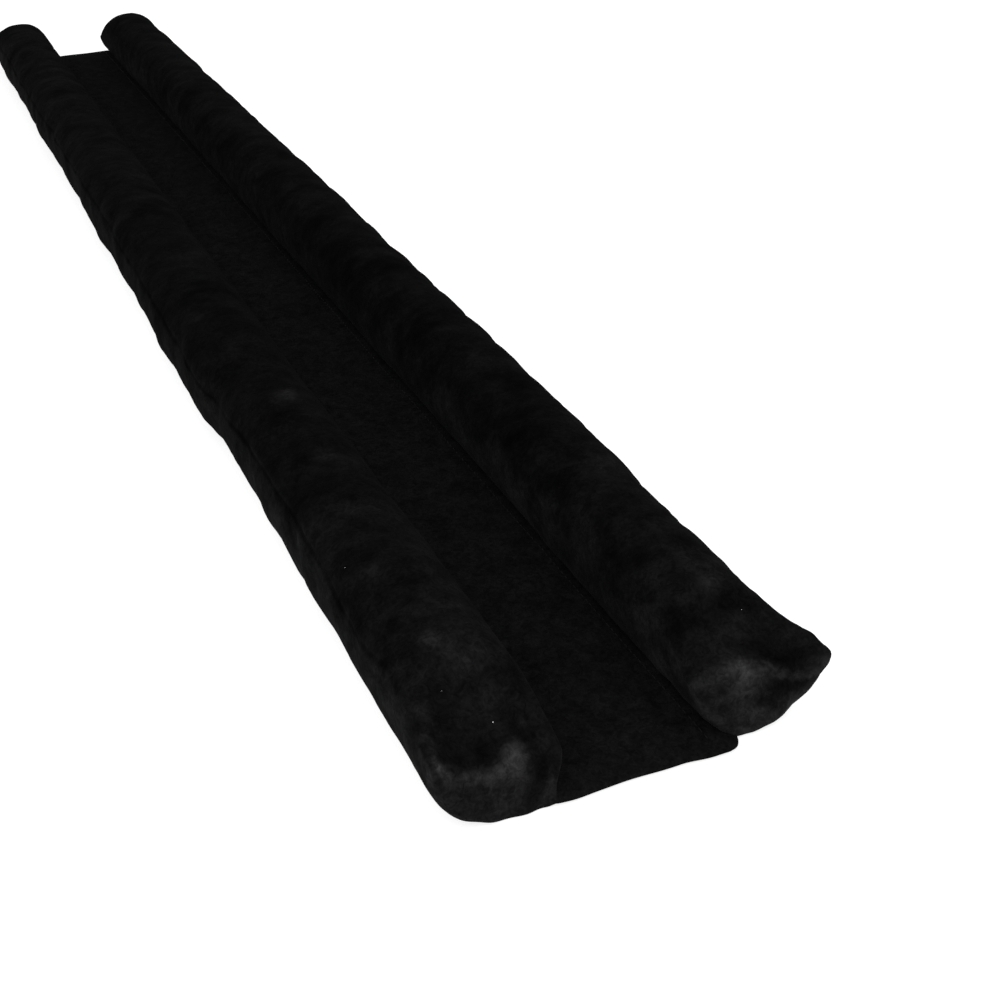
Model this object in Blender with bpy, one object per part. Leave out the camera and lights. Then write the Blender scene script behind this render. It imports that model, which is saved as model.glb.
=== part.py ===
"""Double draught excluder: two filled velvet sleeves joined by a flat web of doubled cloth.

A door stands over the web, and one sleeve lies against each of its faces. The sleeves run along X,
with the end that faces the viewer at -X. Metres, +Z up, origin on the floor at the middle of the part.
Positions along a sleeve are counted from the near edge of the web, and reach is the distance from the
middle of the part, out towards either side.
"""

import math
from collections import namedtuple

import bpy

# Driving sizes
LENGTH = 0.900
DOOR_GAP = 0.0408
SLEEVE_WIDTH = 0.0366
SLEEVE_HEIGHT = 0.0350
WEB_THICKNESS = 0.0020

# Section of a sleeve: a soft superellipse, pressed flat where it lies on the floor
SINK = 0.0014
SQUARENESS = 0.90
JOINT_ANGLE = -50.0
SEAM_GROOVE = 0.0008
SEAM_GROOVE_REACH = 0.0016
POINTS_PER_PANEL = 16
SEAM_CROWDING = 1.25
STATION_STEP = 0.0140
FIRST_STATION = 0.036

# Soft lumps of the filling under the cloth
LUMP_HEIGHT = 0.00045
LUMP_FREE_HEIGHT = 0.0030
LUMP_FADE_HEIGHT = 0.0060

# Closed ends: the top panel slopes down over the last stretch, then drops steeply to the end seam
END_RING_DEPTHS = (0.0, 0.0003, 0.0010, 0.0022, 0.0040, 0.0065, 0.0095, 0.0135, 0.0180, 0.0230, 0.0290)
END_DROP_SHARE = 0.42
END_DROP_REACH = 0.0050
END_SLOPE_REACH = 0.0340
END_FULL_FROM = 0.0120
END_FULL_AT = 0.0400
END_LEAST_LIFT = 0.0008
END_UNDERSIDE_RADIUS = 0.0042
END_SOFTNESS = 4
PLEAT_REACH = 0.0085
BULGE_DEPTH = 0.0050
BULGE_SPREAD = 0.0085

# Web of doubled cloth
WEB_COLUMNS = (-1.0, -0.86, -0.68, -0.45, -0.2, 0.0, 0.2, 0.45, 0.68, 0.86, 1.0)
WEB_STATION_STEP = 0.018
WEB_HEM = 0.0030
WEB_HEM_HEIGHT = 0.0013
WEB_SIDE_GAP = 0.0009
WEB_END_STATIONS = (0.0, 0.0005, 0.0016, 0.0030, 0.0055, 0.0090, 0.0180)
WEB_WAVE = 0.00035

CLOTH_COLOUR = (0.011, 0.011, 0.012, 1.0)

Run = namedtuple("Run", "along outward crown seam_angle")
Fold = namedtuple("Fold", "along angle reach_along reach_around height")
Rise = namedtuple("Rise", "reach height")
Pleat = namedtuple("Pleat", "reach width depth")
Bulge = namedtuple("Bulge", "reach width lift")
Corner = namedtuple("Corner", "along inset")
End = namedtuple("End", "setback ear seam pleats bulges web_corner")
Sleeve = namedtuple("Sleeve", "side runs folds near far phase")

# How each sleeve swells and sags along its length, and where its outer seam wanders
LEFT_RUNS = (
    Run(0.000, -0.0002, 0.0000, 4.0),
    Run(0.007, -0.0002, 0.0000, 25.0),
    Run(0.015, 0.0000, 0.0004, 33.0),
    Run(0.032, 0.0002, 0.0008, 33.0),
    Run(0.062, -0.0002, 0.0002, 20.0),
    Run(0.092, 0.0002, 0.0006, 29.0),
    Run(0.135, -0.0004, -0.0004, 31.0),
    Run(0.185, -0.0007, 0.0003, 26.0),
    Run(0.222, -0.0010, -0.0006, 17.0),
    Run(0.243, 0.0017, 0.0002, 20.0),
    Run(0.310, 0.0021, 0.0005, 28.0),
    Run(0.390, 0.0006, -0.0006, 24.0),
    Run(0.470, 0.0014, 0.0003, 29.0),
    Run(0.560, 0.0002, -0.0004, 23.0),
    Run(0.650, 0.0012, 0.0005, 27.0),
    Run(0.735, 0.0000, -0.0003, 22.0),
    Run(0.820, 0.0008, 0.0004, 28.0),
    Run(0.886, 0.0002, 0.0004, 27.0),
    Run(0.900, 0.0000, 0.0000, 6.0),
)
RIGHT_RUNS = (
    Run(0.000, 0.0029, 0.0000, 3.0),
    Run(0.007, 0.0022, -0.0002, 14.0),
    Run(0.0235, -0.0027, -0.0012, 30.0),
    Run(0.034, -0.0034, -0.0014, 31.0),
    Run(0.060, -0.0038, -0.0014, 26.0),
    Run(0.100, -0.0024, -0.0014, 29.0),
    Run(0.160, -0.0019, -0.0006, 24.0),
    Run(0.235, -0.0006, -0.0010, 30.0),
    Run(0.320, -0.0014, -0.0002, 25.0),
    Run(0.405, -0.0002, -0.0009, 28.0),
    Run(0.500, -0.0012, -0.0001, 23.0),
    Run(0.590, -0.0002, -0.0010, 27.0),
    Run(0.675, -0.0011, -0.0003, 30.0),
    Run(0.765, -0.0003, -0.0008, 24.0),
    Run(0.840, -0.0010, -0.0002, 28.0),
    Run(0.886, -0.0002, -0.0002, 26.0),
    Run(0.900, 0.0000, 0.0000, 6.0),
)

# Dents and puckers of the slack cloth; the angle is 0 beside the door, 90 on top and 180 outside
LEFT_FOLDS = (
    Fold(0.026, 68.0, 0.0035, 30.0, -0.0008),
    Fold(0.033, 70.0, 0.0040, 26.0, 0.0006),
    Fold(0.052, 118.0, 0.0200, 22.0, -0.0006),
    Fold(0.095, 75.0, 0.0160, 34.0, -0.0008),
    Fold(0.118, 120.0, 0.0120, 24.0, 0.0006),
    Fold(0.168, 95.0, 0.0180, 30.0, -0.0007),
    Fold(0.226, 158.0, 0.0090, 26.0, -0.0012),
    Fold(0.232, 100.0, 0.0120, 32.0, -0.0008),
    Fold(0.262, 72.0, 0.0080, 24.0, 0.0007),
    Fold(0.345, 110.0, 0.0200, 30.0, -0.0009),
    Fold(0.430, 140.0, 0.0100, 26.0, -0.0010),
    Fold(0.525, 80.0, 0.0200, 34.0, -0.0008),
    Fold(0.610, 150.0, 0.0110, 28.0, -0.0010),
    Fold(0.700, 95.0, 0.0190, 30.0, -0.0008),
    Fold(0.790, 135.0, 0.0120, 26.0, -0.0009),
)
RIGHT_FOLDS = (
    Fold(0.022, 140.0, 0.0080, 24.0, 0.0003),
    Fold(0.040, 95.0, 0.0120, 30.0, -0.0007),
    Fold(0.088, 120.0, 0.0150, 26.0, -0.0008),
    Fold(0.150, 80.0, 0.0180, 34.0, -0.0008),
    Fold(0.212, 150.0, 0.0100, 26.0, -0.0011),
    Fold(0.290, 100.0, 0.0190, 30.0, -0.0008),
    Fold(0.375, 135.0, 0.0120, 26.0, -0.0009),
    Fold(0.470, 90.0, 0.0200, 34.0, -0.0008),
    Fold(0.555, 155.0, 0.0100, 26.0, -0.0011),
    Fold(0.640, 105.0, 0.0180, 30.0, -0.0008),
    Fold(0.730, 75.0, 0.0160, 30.0, -0.0007),
    Fold(0.815, 140.0, 0.0110, 26.0, -0.0010),
)

# Height of the seam that closes each end, from the door side out to the corner
LEFT_NEAR_SEAM = (
    Rise(0.0226, 0.0000),
    Rise(0.0430, 0.0003),
    Rise(0.0475, 0.0026),
    Rise(0.0515, 0.0064),
    Rise(0.0545, 0.0106),
    Rise(0.0570, 0.0148),
)
RIGHT_NEAR_SEAM = (
    Rise(0.0310, 0.0000),
    Rise(0.0355, 0.0008),
    Rise(0.0430, 0.0030),
    Rise(0.0500, 0.0076),
    Rise(0.0555, 0.0130),
    Rise(0.0608, 0.0168),
)
FAR_SEAM = (
    Rise(0.0262, 0.0000),
    Rise(0.0400, 0.0006),
    Rise(0.0490, 0.0040),
    Rise(0.0540, 0.0098),
    Rise(0.0575, 0.0150),
)

SLEEVES = {
    "sleeve_left": Sleeve(
        side=1,
        runs=LEFT_RUNS,
        folds=LEFT_FOLDS,
        near=End(
            setback=0.0000,
            ear=0.0022,
            seam=LEFT_NEAR_SEAM,
            pleats=(
                Pleat(0.0285, 0.0020, 0.0009),
                Pleat(0.0380, 0.0026, 0.0010),
                Pleat(0.0450, 0.0020, 0.0011),
            ),
            bulges=(Bulge(0.0330, 0.0036, 0.0026),),
            web_corner=Corner(0.0030, 0.0008),
        ),
        far=End(
            setback=0.0016,
            ear=0.0030,
            seam=FAR_SEAM,
            pleats=(Pleat(0.0400, 0.0030, 0.0008),),
            bulges=(Bulge(0.0340, 0.0050, 0.0020),),
            web_corner=Corner(0.0032, 0.0020),
        ),
        phase=0.4,
    ),
    "sleeve_right": Sleeve(
        side=-1,
        runs=RIGHT_RUNS,
        folds=RIGHT_FOLDS,
        near=End(
            setback=0.0030,
            ear=0.0028,
            seam=RIGHT_NEAR_SEAM,
            pleats=(
                Pleat(0.0330, 0.0022, 0.0006),
                Pleat(0.0510, 0.0042, 0.0026),
            ),
            bulges=(Bulge(0.0365, 0.0072, 0.0048), Bulge(0.0290, 0.0040, 0.0020)),
            web_corner=Corner(0.0032, 0.0026),
        ),
        far=End(
            setback=0.0020,
            ear=0.0030,
            seam=FAR_SEAM,
            pleats=(Pleat(0.0370, 0.0030, 0.0008),),
            bulges=(Bulge(0.0430, 0.0060, 0.0024),),
            web_corner=Corner(0.0032, 0.0020),
        ),
        phase=2.3,
    ),
}


def ease(share):
    """A share from 0 to 1, eased at both ends."""
    share = min(1.0, max(0.0, share))
    return share * share * (3 - 2 * share)


def between(rows, place, column):
    """A table's column at a place between its rows, which are ordered by their first column."""
    if place <= rows[0][0]:
        return rows[0][column]
    for low, high in zip(rows, rows[1:]):
        if place <= high[0]:
            share = ease((place - low[0]) / (high[0] - low[0]))
            return low[column] + (high[column] - low[column]) * share
    return rows[-1][column]


def signed_power(value, power):
    return math.copysign(abs(value) ** power, value)


def half_sizes(sleeve, along):
    """Half the width and half the height of the full, unpressed section at a place along a sleeve."""
    wide = (SLEEVE_WIDTH + between(sleeve.runs, along, 1)) / 2
    high = (SLEEVE_HEIGHT + between(sleeve.runs, along, 2) + SINK) / 2
    return wide, high


def lumps(sleeve, along, angle):
    """Broad, shallow unevenness of the filling, from three slow waves."""
    turn = math.radians(angle)
    waves = (
        math.sin(along * 74 + turn * 1.0 + sleeve.phase)
        + 0.7 * math.sin(along * 127 - turn * 2.0 + sleeve.phase * 2.1)
        + 0.5 * math.sin(along * 211 + turn * 3.0 + sleeve.phase * 3.7)
    )
    return LUMP_HEIGHT * waves / 2.2


def fold_height(sleeve, along, angle):
    """How far the folds of the cloth stand out at one place."""
    height = 0.0
    for fold in sleeve.folds:
        off_along = (along - fold.along) / fold.reach_along
        off_around = (angle - fold.angle) / fold.reach_around
        height += fold.height * math.exp(-(off_along**2) - off_around**2)
    return height


def section_point(sleeve, along, angle):
    """Reach and height of the cloth at an angle round the section: 0 beside the door, 90 on top."""
    wide, high = half_sizes(sleeve, along)
    turn = math.radians(angle)
    inwards = signed_power(math.cos(turn), SQUARENESS)
    upwards = signed_power(math.sin(turn), SQUARENESS)
    reach = DOOR_GAP / 2 + wide * (1 - inwards)
    height = high - SINK + high * upwards

    seam_angle = 180 - between(sleeve.runs, along, 3)
    off_seam = math.radians(angle - seam_angle) * wide / SEAM_GROOVE_REACH
    outward = lumps(sleeve, along, angle) + fold_height(sleeve, along, angle)
    outward *= ease((height - LUMP_FREE_HEIGHT) / LUMP_FADE_HEIGHT)
    outward -= SEAM_GROOVE * math.exp(-(off_seam**2))
    outward = min(outward, 0.0) if abs(angle) < 45 else outward
    reach -= outward * math.cos(turn)
    height += outward * math.sin(turn)
    return reach, max(height, 0.0)


def panel_angles(sleeve, along):
    """Angles round a section: the top panel from the web up to the outer seam, then the bottom panel back."""
    seam_angle = 180 - between(sleeve.runs, along, 3)
    count = POINTS_PER_PANEL
    shares = [1 - (1 - step / count) ** SEAM_CROWDING for step in range(count + 1)]
    top = [JOINT_ANGLE + (seam_angle - JOINT_ANGLE) * share for share in shares]
    low = 360 + JOINT_ANGLE
    bottom = [low + (seam_angle - low) * share for share in reversed(shares[1:count])]
    return top + bottom


def arc(share):
    """Height of a quarter circle at a share of the way in from its foot."""
    off = 1 - min(1.0, max(0.0, share))
    return math.sqrt(1 - off * off)


def soft_least(value, limit):
    """The lesser of two lengths, with a rounded change from one to the other."""
    if value <= 0:
        return value
    power = END_SOFTNESS
    return value * limit / (value**power + limit**power) ** (1 / power)


def end_point(end, depth, share, reach, height, crown):
    """One point of an end section: the full section's point, drawn in towards the end seam.

    Depth is counted in from the end. Share is the point's place along its panel, from 0 at the web to 1
    at the outer seam; the seam that closes the end spreads the points of both panels evenly.
    """
    drawn = 1 - arc(depth / END_DROP_REACH)
    even = end.seam[0].reach + (end.seam[-1].reach - end.seam[0].reach) * share
    reach += (even - reach) * drawn
    seam_height = between(end.seam, reach, 1)
    lift = height - seam_height
    if lift < 0:
        return reach, seam_height + lift * arc(depth / END_UNDERSIDE_RADIUS)
    slope = END_DROP_SHARE * (1 - drawn) + (1 - END_DROP_SHARE) * ease(depth / END_SLOPE_REACH)
    limit = (crown - seam_height) * slope
    for bulge in end.bulges:
        off = (reach - bulge.reach) / bulge.width
        deep = (depth - BULGE_DEPTH) / BULGE_SPREAD
        limit += bulge.lift * math.exp(-off * off - deep * deep) * (1 - drawn)
    limit = max(END_LEAST_LIFT, limit)
    full = ease((depth - END_FULL_FROM) / (END_FULL_AT - END_FULL_FROM))
    low = soft_least(lift, limit)
    return reach, seam_height + low + (lift - low) * full


def end_ring(sleeve, end, depth, far):
    """One ring of a closed end, at a depth in from its seam."""
    edge = LENGTH if far else 0.0
    step = -1 if far else 1
    along = edge + step * (end.setback + depth)
    crown = half_sizes(sleeve, along)[1] * 2 - SINK
    count = POINTS_PER_PANEL
    ring = []
    for place, angle in enumerate(panel_angles(sleeve, along)):
        share = min(place, 2 * count - place) / count
        reach, height = section_point(sleeve, along, angle)
        reach, height = end_point(end, depth, share, reach, height, crown)
        shift = end.ear * (1 - arc((end.seam[-1].reach - reach) / end.ear)) * (1 - ease(depth / PLEAT_REACH))
        for pleat in end.pleats:
            off = (reach - pleat.reach) / pleat.width
            shift += pleat.depth * math.exp(-off * off) * (1 - ease(depth / PLEAT_REACH))
        ring.append((along + step * shift, reach, height))
    return ring


def body_stations():
    """Places along a sleeve of the sections between its two closed ends."""
    span = LENGTH - 2 * FIRST_STATION
    count = round(span / STATION_STEP)
    return [FIRST_STATION + span * step / count for step in range(count + 1)]


def body_ring(sleeve, along):
    """One full section, which near an end still slopes down a little towards it."""
    far = along > LENGTH / 2
    end = sleeve.far if far else sleeve.near
    depth = (LENGTH - along if far else along) - end.setback
    crown = half_sizes(sleeve, along)[1] * 2 - SINK
    count = POINTS_PER_PANEL
    ring = []
    for place, angle in enumerate(panel_angles(sleeve, along)):
        share = min(place, 2 * count - place) / count
        reach, height = section_point(sleeve, along, angle)
        ring.append((along, *end_point(end, depth, share, reach, height, crown)))
    return ring


def sleeve_rings(sleeve):
    rings = [end_ring(sleeve, sleeve.near, depth, far=False) for depth in END_RING_DEPTHS]
    rings += [body_ring(sleeve, along) for along in body_stations()]
    rings += [end_ring(sleeve, sleeve.far, depth, far=True) for depth in reversed(END_RING_DEPTHS)]
    return rings


def strip_across(first, count, flip):
    """Faces that close a ring by joining its top panel to its bottom panel."""
    half = count // 2
    faces = [(first, first + 1, first + count - 1)]
    for step in range(1, half - 1):
        faces.append(
            (first + step, first + step + 1, first + count - step - 1, first + count - step)
        )
    faces.append((first + half - 1, first + half, first + half + 1))
    return [tuple(reversed(face)) for face in faces] if flip else faces


def tube_faces(rings, count, side):
    """Side faces between neighbouring rings, and the two end strips, all facing out."""
    faces = []
    for ring in range(rings - 1):
        for step in range(count):
            following = (step + 1) % count
            low, high = ring * count, (ring + 1) * count
            face = (low + step, high + step, high + following, low + following)
            faces.append(face if side > 0 else tuple(reversed(face)))
    faces += strip_across(0, count, flip=side < 0)
    faces += strip_across((rings - 1) * count, count, flip=side > 0)
    return faces


def cloth_material():
    material = bpy.data.materials.new("black_velvet")
    material.use_nodes = True
    shader = material.node_tree.nodes["Principled BSDF"]
    shader.inputs["Base Color"].default_value = CLOTH_COLOUR
    shader.inputs["Roughness"].default_value = 0.9
    shader.inputs["Metallic"].default_value = 0.0
    shader.inputs["Sheen Weight"].default_value = 0.5
    return material


def add_object(name, points, faces, material):
    mesh = bpy.data.meshes.new(name)
    mesh.from_pydata(points, [], faces)
    mesh.validate()
    mesh.materials.append(material)
    mesh.shade_smooth()
    mesh.set_sharp_from_angle(angle=math.radians(50))
    obj = bpy.data.objects.new(name, mesh)
    bpy.context.scene.collection.objects.link(obj)
    return obj


def add_sleeve(name, sleeve, material):
    rings = sleeve_rings(sleeve)
    count = len(rings[0])
    points = [
        (along - LENGTH / 2, sleeve.side * reach, height)
        for ring in rings
        for along, reach, height in ring
    ]
    return add_object(name, points, tube_faces(len(rings), count, sleeve.side), material)


def flank_reach(sleeve, along, height):
    """Reach of the underside of a sleeve, beside the web, at a height above the floor."""
    wide, high = half_sizes(sleeve, along)
    upwards = signed_power((height - high + SINK) / high, 1 / SQUARENESS)
    inwards = math.sqrt(max(0.0, 1 - upwards * upwards)) ** SQUARENESS
    return DOOR_GAP / 2 + wide * (1 - inwards)


def web_edge(sleeve, along, height):
    """Reach of the web's side, which follows the underside of the sleeve and rounds off at its corners."""
    inside = min(max(along, FIRST_STATION), LENGTH - FIRST_STATION)
    reach = flank_reach(sleeve, inside, height)
    end = sleeve.far if along > LENGTH / 2 else sleeve.near
    to_edge = min(along, LENGTH - along)
    drawn = 1 - arc((to_edge - end.setback) / END_DROP_REACH)
    reach += (end.seam[0].reach - reach) * drawn - WEB_SIDE_GAP
    return reach - end.web_corner.inset * (1 - arc(to_edge / end.web_corner.along))


def web_stations():
    near = list(WEB_END_STATIONS)
    span = LENGTH - 2 * near[-1]
    count = round(span / WEB_STATION_STEP)
    middle = [near[-1] + span * step / count for step in range(1, count)]
    return near + middle + [LENGTH - along for along in reversed(near)]


def web_top(along, share):
    """Height of the web's upper face: flat along the middle, uneven near the seams, thin at the hem."""
    wave = math.sin(along * 61 + 0.6) + 0.6 * math.sin(along * 143 + share * 2.2)
    height = WEB_THICKNESS - WEB_WAVE * (1 + wave / 1.6) / 2 * ease((abs(share) - 0.45) / 0.4)
    to_edge = min(along, LENGTH - along)
    return WEB_HEM_HEIGHT + (height - WEB_HEM_HEIGHT) * arc(to_edge / WEB_HEM)


def add_web(material):
    """The web: one closed sheet, with its sides cut to the undersides of the two sleeves."""
    points = []
    stations = web_stations()
    columns = len(WEB_COLUMNS)
    for along in stations:
        for level in ("top", "floor"):
            for share in WEB_COLUMNS:
                sleeve = SLEEVES["sleeve_left" if share > 0 else "sleeve_right"]
                height = web_top(along, share) if level == "top" else 0.0
                reach = web_edge(sleeve, along, height) * share
                points.append((along - LENGTH / 2, reach, height))
    faces = []
    ring = 2 * columns
    for station in range(len(stations) - 1):
        low, high = station * ring, (station + 1) * ring
        for step in range(columns - 1):
            top = (low + step, high + step, high + step + 1, low + step + 1)
            floor = tuple(point + columns for point in reversed(top))
            faces += [top, floor]
        last = columns - 1
        faces.append((low + columns, high + columns, high, low))
        faces.append((low + last, high + last, high + columns + last, low + columns + last))
    last_ring = (len(stations) - 1) * ring
    for step in range(columns - 1):
        faces.append((step, step + 1, step + columns + 1, step + columns))
        end = tuple(last_ring + point for point in (step, step + columns, step + columns + 1, step + 1))
        faces.append(end)
    return add_object("web", points, faces, material)


def build():
    for obj in list(bpy.data.objects):
        bpy.data.objects.remove(obj, do_unlink=True)
    material = cloth_material()
    for name, sleeve in SLEEVES.items():
        add_sleeve(name, sleeve, material)
    add_web(material)


build()
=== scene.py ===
"""Looks of the double draught excluder: two filled sleeves of black velvet joined by a flat web.

Metres, +Z up. Along counts from the near edge of the web, in +X, and reach counts from the middle of the
part out to either side.
"""

import math
from collections import namedtuple

import bpy
import numpy as np
from mathutils import Matrix, Vector, noise


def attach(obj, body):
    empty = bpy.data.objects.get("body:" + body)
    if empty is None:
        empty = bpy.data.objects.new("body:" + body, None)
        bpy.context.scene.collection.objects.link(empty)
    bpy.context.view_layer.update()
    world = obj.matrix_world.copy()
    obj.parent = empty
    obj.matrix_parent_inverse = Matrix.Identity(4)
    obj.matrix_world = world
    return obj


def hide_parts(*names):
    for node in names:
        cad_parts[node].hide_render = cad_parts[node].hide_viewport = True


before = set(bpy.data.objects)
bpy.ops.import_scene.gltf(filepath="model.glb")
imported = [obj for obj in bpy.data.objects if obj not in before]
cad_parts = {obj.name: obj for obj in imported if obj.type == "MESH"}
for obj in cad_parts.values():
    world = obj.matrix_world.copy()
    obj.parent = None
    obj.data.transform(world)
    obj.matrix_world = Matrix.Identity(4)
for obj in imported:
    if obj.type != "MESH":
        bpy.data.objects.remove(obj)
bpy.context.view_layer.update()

# Sizes shared with the solids
LENGTH = 0.900
DOOR_GAP = 0.0408
SLEEVE_WIDTH = 0.0366
SLEEVE_HEIGHT = 0.0350
SINK = 0.0014
SQUARENESS = 0.90
JOINT_ANGLE = -50.0

# Grid of a sleeve
POINTS_PER_PANEL = 26
SEAM_CROWDING = 1.15
BODY_STEP = 0.0032
FIRST_STATION = 0.034
END_DEPTHS = (
    0.0, 0.0003, 0.0008, 0.0016, 0.0028, 0.0044, 0.0064,
    0.0088, 0.0115, 0.0145, 0.0180, 0.0218, 0.0258, 0.0299,
)

# Closed ends
END_DROP_SHARE = 0.42
END_DROP_REACH = 0.0050
END_SLOPE_REACH = 0.0340
END_FULL_FROM = 0.0120
END_FULL_AT = 0.0400
END_LEAST_LIFT = 0.0008
END_UNDERSIDE_RADIUS = 0.0042
END_SOFTNESS = 4
PLEAT_REACH = 0.0085
BULGE_DEPTH = 0.0050
BULGE_SPREAD = 0.0085

Wave = namedtuple("Wave", "size per_metre turns phases")
Texture = namedtuple("Texture", "scale detail roughness distortion")
Spread = namedtuple("Spread", "start end low high")
Lamp = namedtuple("Lamp", "name place size watts")
Run = namedtuple("Run", "along outward crown seam_angle")
Fold = namedtuple("Fold", "along angle reach_along reach_around height")
Rise = namedtuple("Rise", "reach height")
Pleat = namedtuple("Pleat", "reach width depth")
Bulge = namedtuple("Bulge", "reach width lift")
End = namedtuple("End", "setback ear seam pleats bulges")
Brushed = namedtuple("Brushed", "along reach height size strength")
Tone = namedtuple("Tone", "along top flank")
Lint = namedtuple("Lint", "along reach height size")
Sleeve = namedtuple("Sleeve", "node side runs folds near far phase brushed lint")

# Lumps of the filling, which never stand out into the door's space beside it
DOOR_SIDE_ANGLE = 45
LUMP_HEIGHT = 0.00045
LUMP_FREE_HEIGHT = 0.0030
LUMP_FADE_HEIGHT = 0.0060
LUMP_WAVES = (Wave(1.0, 74, 1.0, 1.0), Wave(0.7, 127, -2.0, 2.1), Wave(0.5, 211, 3.0, 3.7))
LUMP_WAVES_SUM = 2.2

# Cloth simulation of the slack in the velvet
CLOTH_FRAMES = 16
CLOTH_SLACK = -0.015
CLOTH_PRESSURE = 1.2
CLOTH_STIFFNESS = 12
CLOTH_DAMPING = 15
CLOTH_HELD_BELOW = 0.0015
CLOTH_LARGEST_MOVE = 0.0003
DOOR_CLEARANCE = 0.0003

# Outer seams, with the puckers beside them
SEAM_DEPTH = 0.00024
SEAM_HALF_WIDTH = 0.0007
SEAM_SHARE_AT_END = 0.2
SEAM_FULL_FROM = 0.010
SEAM_FADE_LENGTH = 0.030
PUCKER_HEIGHT = 0.00016
PUCKER_PITCH = 0.0105
PUCKER_REACH = 0.0050
PUCKER_START = 0.0014
PUCKER_SHIFT = 2.4
PUCKER_SHARE_BELOW = 0.6
PUCKER_WANDERS = (Wave(0.0022, 310, 0, 1), Wave(0.0015, 137, 0, 3))
PUCKER_MEAN = 0.55
PUCKER_SWING = Wave(0.45, 93, 0, 2)
CORNER_GATHER = 0.00018
CORNER_PITCH = 0.0046
CORNER_REACH = 0.030
CORNER_WANDER_SHARE = 0.4

# Relief of the crushed pile, free of the floor from a small height up
CRUSH_HEIGHT = 0.00016
CRUSH_SIZE = 0.0080
FREE_FROM_HEIGHT = 0.0004
FREE_OVER_HEIGHT = 0.004

# Soft noise in three sizes
NOISE_SHIFTS = (17.3, 5.1, 9.7)
NOISE_FINER = 2.1
NOISE_FINEST = 4.3
NOISE_SUM = 1.2

# Pile tone with painted light and shade, up to 2 at its lightest
LIGHTEST = 2
TOP_PAINTED_LIGHT = 0.075
FLANK_PAINTED_LIGHT = 0.34
FLANK_FROM_RISE = 0.62
FLANK_RISE_SPAN = 0.9
WEB_LYING = 0.10
PATCH_SIZE = 0.016
PATCH_SEED = 3.0
PATCH_STRENGTH = 0.85
STREAK_SIZE = 0.0065
STREAK_SEED = 8.0
STREAK_SQUEEZE = (1.0, 0.45, 1.0)
STREAK_STRENGTH = 0.48
LEAST_SHARE = 0.34
FOOT_SHADE = 0.22
FOOT_SHADE_REACH = 0.004
FOOT_SHADE_HEIGHT = 0.012
SEAM_SHADE = 0.05
SEAM_SHADE_WIDTH = 0.0010
SEAM_SHADE_FROM = 0.012

# Marks of brushed pile, painted highlights and painted shade, with ragged outlines
MARK_MEAN = 0.80
MARK_STREAKS = 0.60
MARK_DRIFT = 0.0016
MARK_DRIFT_SIZE = 0.0045
MARK_DRIFT_SEEDS = (21.0, 22.0, 23.0)

# Web of doubled cloth, with rolled and rounded ends
WEB_HALF = 0.0276
WEB_THICKNESS = 0.0020
WEB_ROUND = 0.0010
WEB_ROLL = 0.0016
WEB_LEAST_ROUND = 0.35
WEB_LEAST_ROLL = 0.12
WEB_COLUMNS = 40
WEB_STEP = 0.0040
WEB_BODY_FROM = 0.0160
WEB_END_DEPTHS = (0.0, 0.0002, 0.0005, 0.0009, 0.0014, 0.0020, 0.0028, 0.0040, 0.0060, 0.0085, 0.0120)
WEB_CORNER_CUT = 0.0048
WEB_CORNER_REACH = 0.0040
NEAR_RIGHT_CUT = 0.0050
NEAR_RIGHT_SPREAD = 0.0031
NEAR_RIGHT_FULL_TO = 0.0045
NEAR_RIGHT_FADE = 0.0080

# Unevenness of the web: waves beside the seams, crinkles on top, and a wavy, pulled near edge
WEB_WAVE_HEIGHT = 0.00018
WEB_WAVE_PER_METRE = 61
WEB_WAVE_START = 0.6
WEB_QUICK_SHARE = 0.6
WEB_QUICK_PER_METRE = 143
WEB_QUICK_SLANT = 90
WEB_WAVE_LIFT = 1.6
WEB_FLAT_SHARE = 0.6
CRINKLE_HEIGHT = 0.00012
CRINKLES_PER_METRE = 95
CRINKLE_LAYER = 2.0
WOBBLE = 0.00022
WOBBLE_PER_METRE = 260
WOBBLE_START = 0.8
WOBBLE_REACH = 0.01
PULL_RIGHT = 0.0015
PULL_LEFT = 0.0006
PULL_FROM = 0.012
PULL_OVER = 0.010
PULL_REACH = 0.020

# Stitches and lint, which share the form of a short thread
THREAD_SHAPE = ((0.0, 0.25), (0.2, 0.8), (0.5, 1.0), (0.8, 0.8), (1.0, 0.25))
THREAD_SIDES = 6
THREAD_ARCH = 0.35
STITCH_REACH = 0.0226
STITCH_FROM = 0.0045
STITCH_SHORT_OF_END = 0.0065
STITCH_LENGTH = 0.0021
STITCH_PITCH = 0.0029
STITCH_WIDTH = 0.00042
STITCH_RISE = 0.00002
LINT_LENGTH = 0.00036
LINT_WIDTH = 0.00028
LINT_RISE = 0.0001

# Materials
WHITE = (1.0, 1.0, 1.0, 1.0)
FLOOR_GREY = (0.35, 0.35, 0.35, 1.0)
THREAD_BLACK = (0.0035, 0.0035, 0.0035, 1.0)
LINT_WHITE = (0.55, 0.55, 0.55, 1.0)
PILE_DARK = (0.0004, 0.0004, 0.0004, 1.0)
PILE_LIGHT = (0.0360, 0.0360, 0.0360, 1.0)
PILE_ROUGHNESS = 0.95
PILE_SHEEN = 0.006
PILE_SHEEN_ROUGHNESS = 0.42
THREAD_ROUGHNESS = 0.8
FLOOR_ROUGHNESS = 0.9
PLAIN_GLOSS = 0.1
MOTTLE = Texture(scale=150.0, detail=4.0, roughness=0.62, distortion=0.7)
FLECK = Texture(scale=430.0, detail=3.0, roughness=0.65, distortion=1.3)
GRAIN = Texture(scale=1500.0, detail=2.0, roughness=0.5, distortion=0.0)
MOTTLE_SPREAD = Spread(start=0.34, end=0.66, low=0.72, high=1.30)
FLECK_SPREAD = Spread(start=0.36, end=0.64, low=0.66, high=1.34)
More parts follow.
